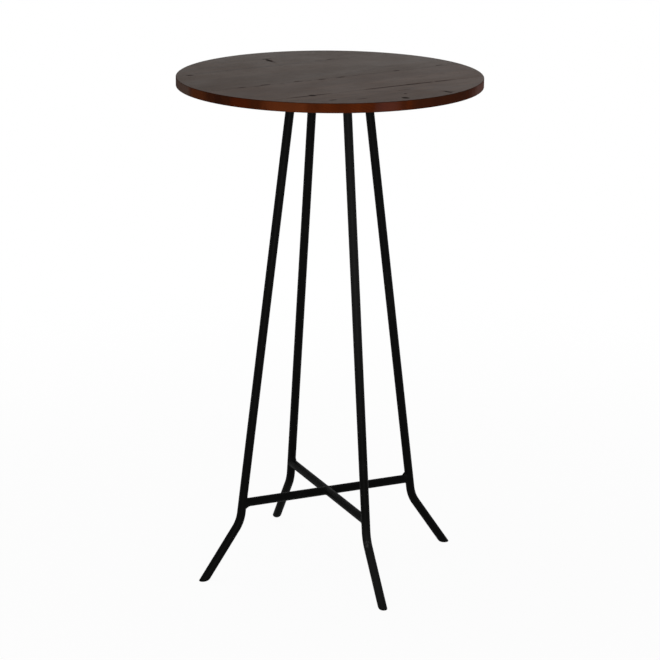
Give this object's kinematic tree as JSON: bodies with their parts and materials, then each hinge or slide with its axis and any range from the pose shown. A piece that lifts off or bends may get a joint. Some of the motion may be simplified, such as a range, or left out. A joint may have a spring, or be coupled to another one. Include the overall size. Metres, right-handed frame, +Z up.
{
  "type": "round high table",
  "caption": "Round bar-height table: a thin plank top on bent steel rod legs that are tied by crossed stretchers near the floor.",
  "frame": {"origin": "middle of the footprint, on the floor", "axes": "+Z up; the front is towards -Y, and the legs stand on the diagonals between X and Y"},
  "size_m": [0.65, 0.65, 1.1],
  "materials": {
    "top_wood": "dark grey-brown stain under a satin lacquer",
    "dowel_wood": "bare beech",
    "black_steel": "satin black paint over rough steel",
    "screw_steel": "bright zinc"
  },
  "bodies": {
    "root": {"front_board": "top_wood", "front_middle_board": "top_wood", "back_middle_board": "top_wood", "back_board": "top_wood", "front_seam_dowels": "dowel_wood", "middle_seam_dowels": "dowel_wood", "back_seam_dowels": "dowel_wood", "long_top_bar": "black_steel", "back_right_half_top_bar": "black_steel", "front_left_half_top_bar": "black_steel", "top_bar_welds": "black_steel", "top_screws": "screw_steel", "screw_washers": "screw_steel", "front_left_leg": "black_steel", "front_right_leg": "black_steel", "back_left_leg": "black_steel", "back_right_leg": "black_steel", "long_stretcher": "black_steel", "back_right_half_stretcher": "black_steel", "front_left_half_stretcher": "black_steel", "crossing_weld": "black_steel", "front_left_stretcher_weld": "black_steel", "front_left_leg_top_weld": "black_steel", "front_right_stretcher_weld": "black_steel", "front_right_leg_top_weld": "black_steel", "back_left_stretcher_weld": "black_steel", "back_left_leg_top_weld": "black_steel", "back_right_stretcher_weld": "black_steel", "back_right_leg_top_weld": "black_steel"}
  },
  "joints": []
}
